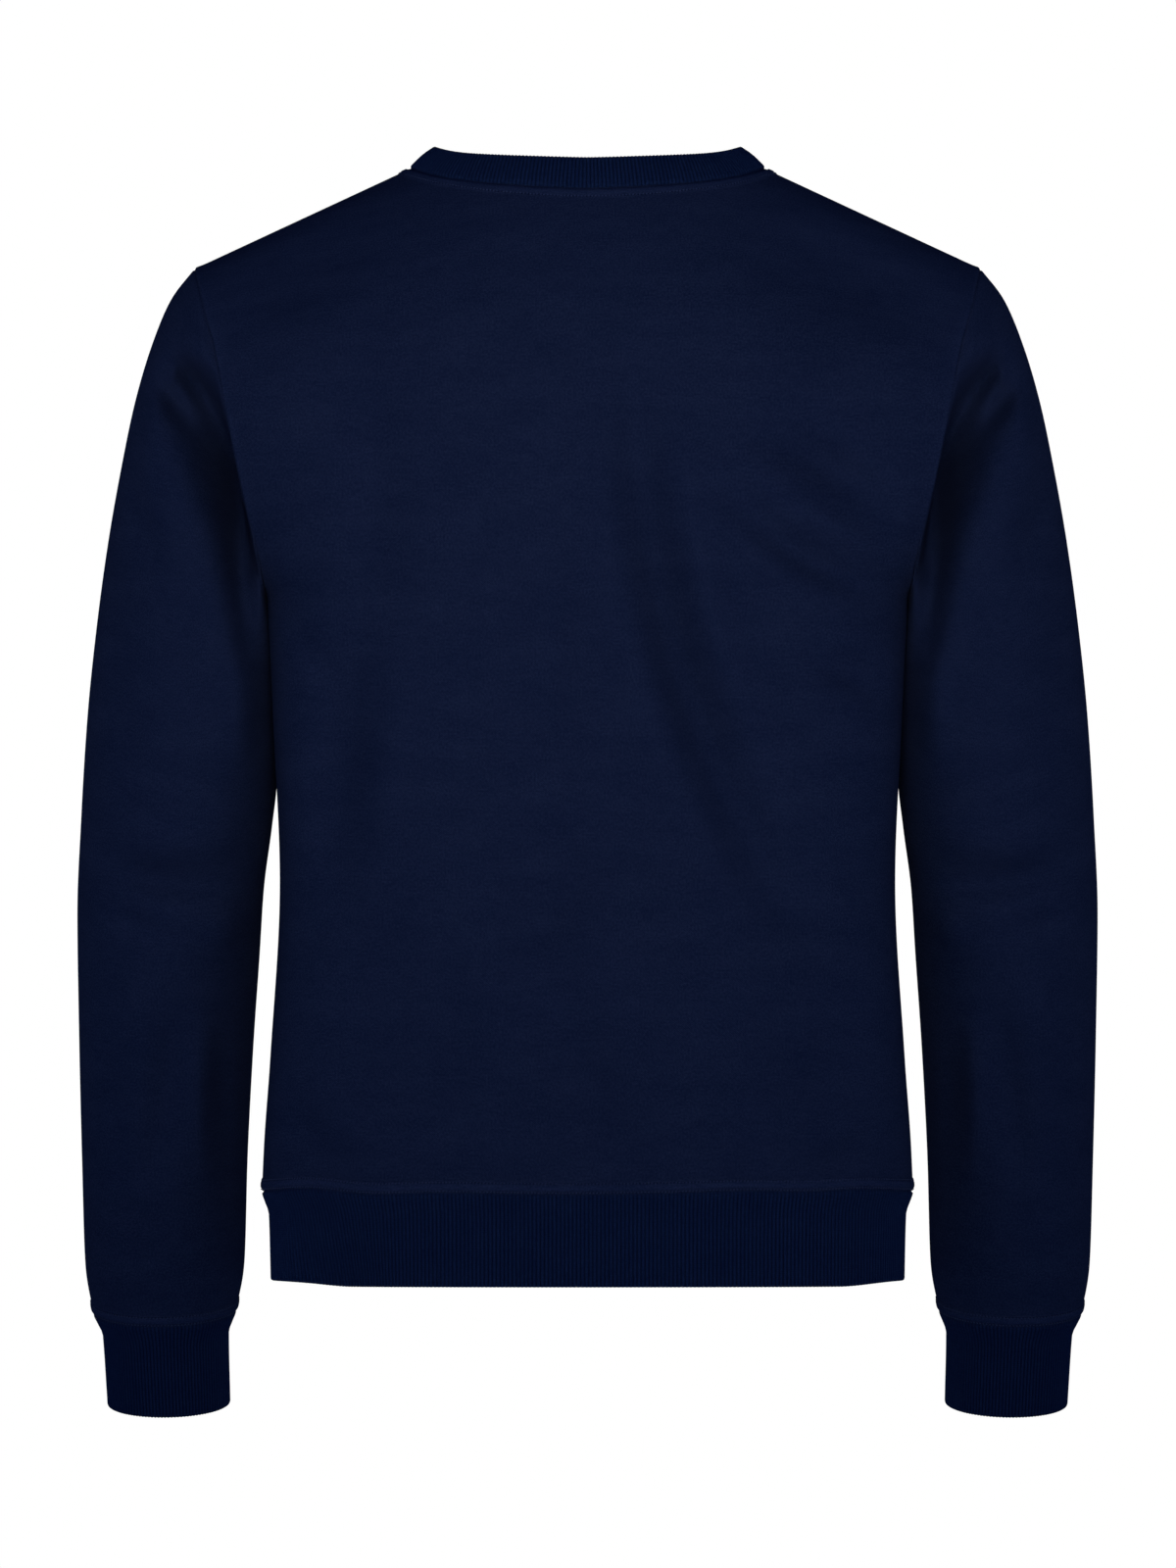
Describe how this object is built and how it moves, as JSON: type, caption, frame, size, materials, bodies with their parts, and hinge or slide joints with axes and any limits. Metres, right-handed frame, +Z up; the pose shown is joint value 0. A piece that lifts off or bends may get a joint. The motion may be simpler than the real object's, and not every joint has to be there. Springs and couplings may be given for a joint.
{
  "type": "crewneck sweatshirt",
  "caption": "Long-sleeved crewneck sweatshirt of brushed fleece, filled out as worn, with set-in sleeves and ribbed neck, hem and cuffs.",
  "frame": {"origin": "midway between the two points where the neck seam meets the shoulder seams, which is where the garment hangs on its wearer", "axes": "+X to the wearer's left, -Y to the front, +Z up"},
  "size_m": [0.614, 0.2624, 0.7648],
  "materials": {
    "fleece": "matt navy cotton fleece jersey with a short nap and a faint speckle",
    "rib": "matt navy rib knit, a shade darker than the fleece"
  },
  "bodies": {
    "root": {"body_back": "fleece", "body_front": "fleece", "sleeve_left": "fleece", "sleeve_right": "fleece", "neck_rib": "rib", "hem_rib": "rib", "cuff_left": "rib", "cuff_right": "rib"}
  },
  "joints": []
}
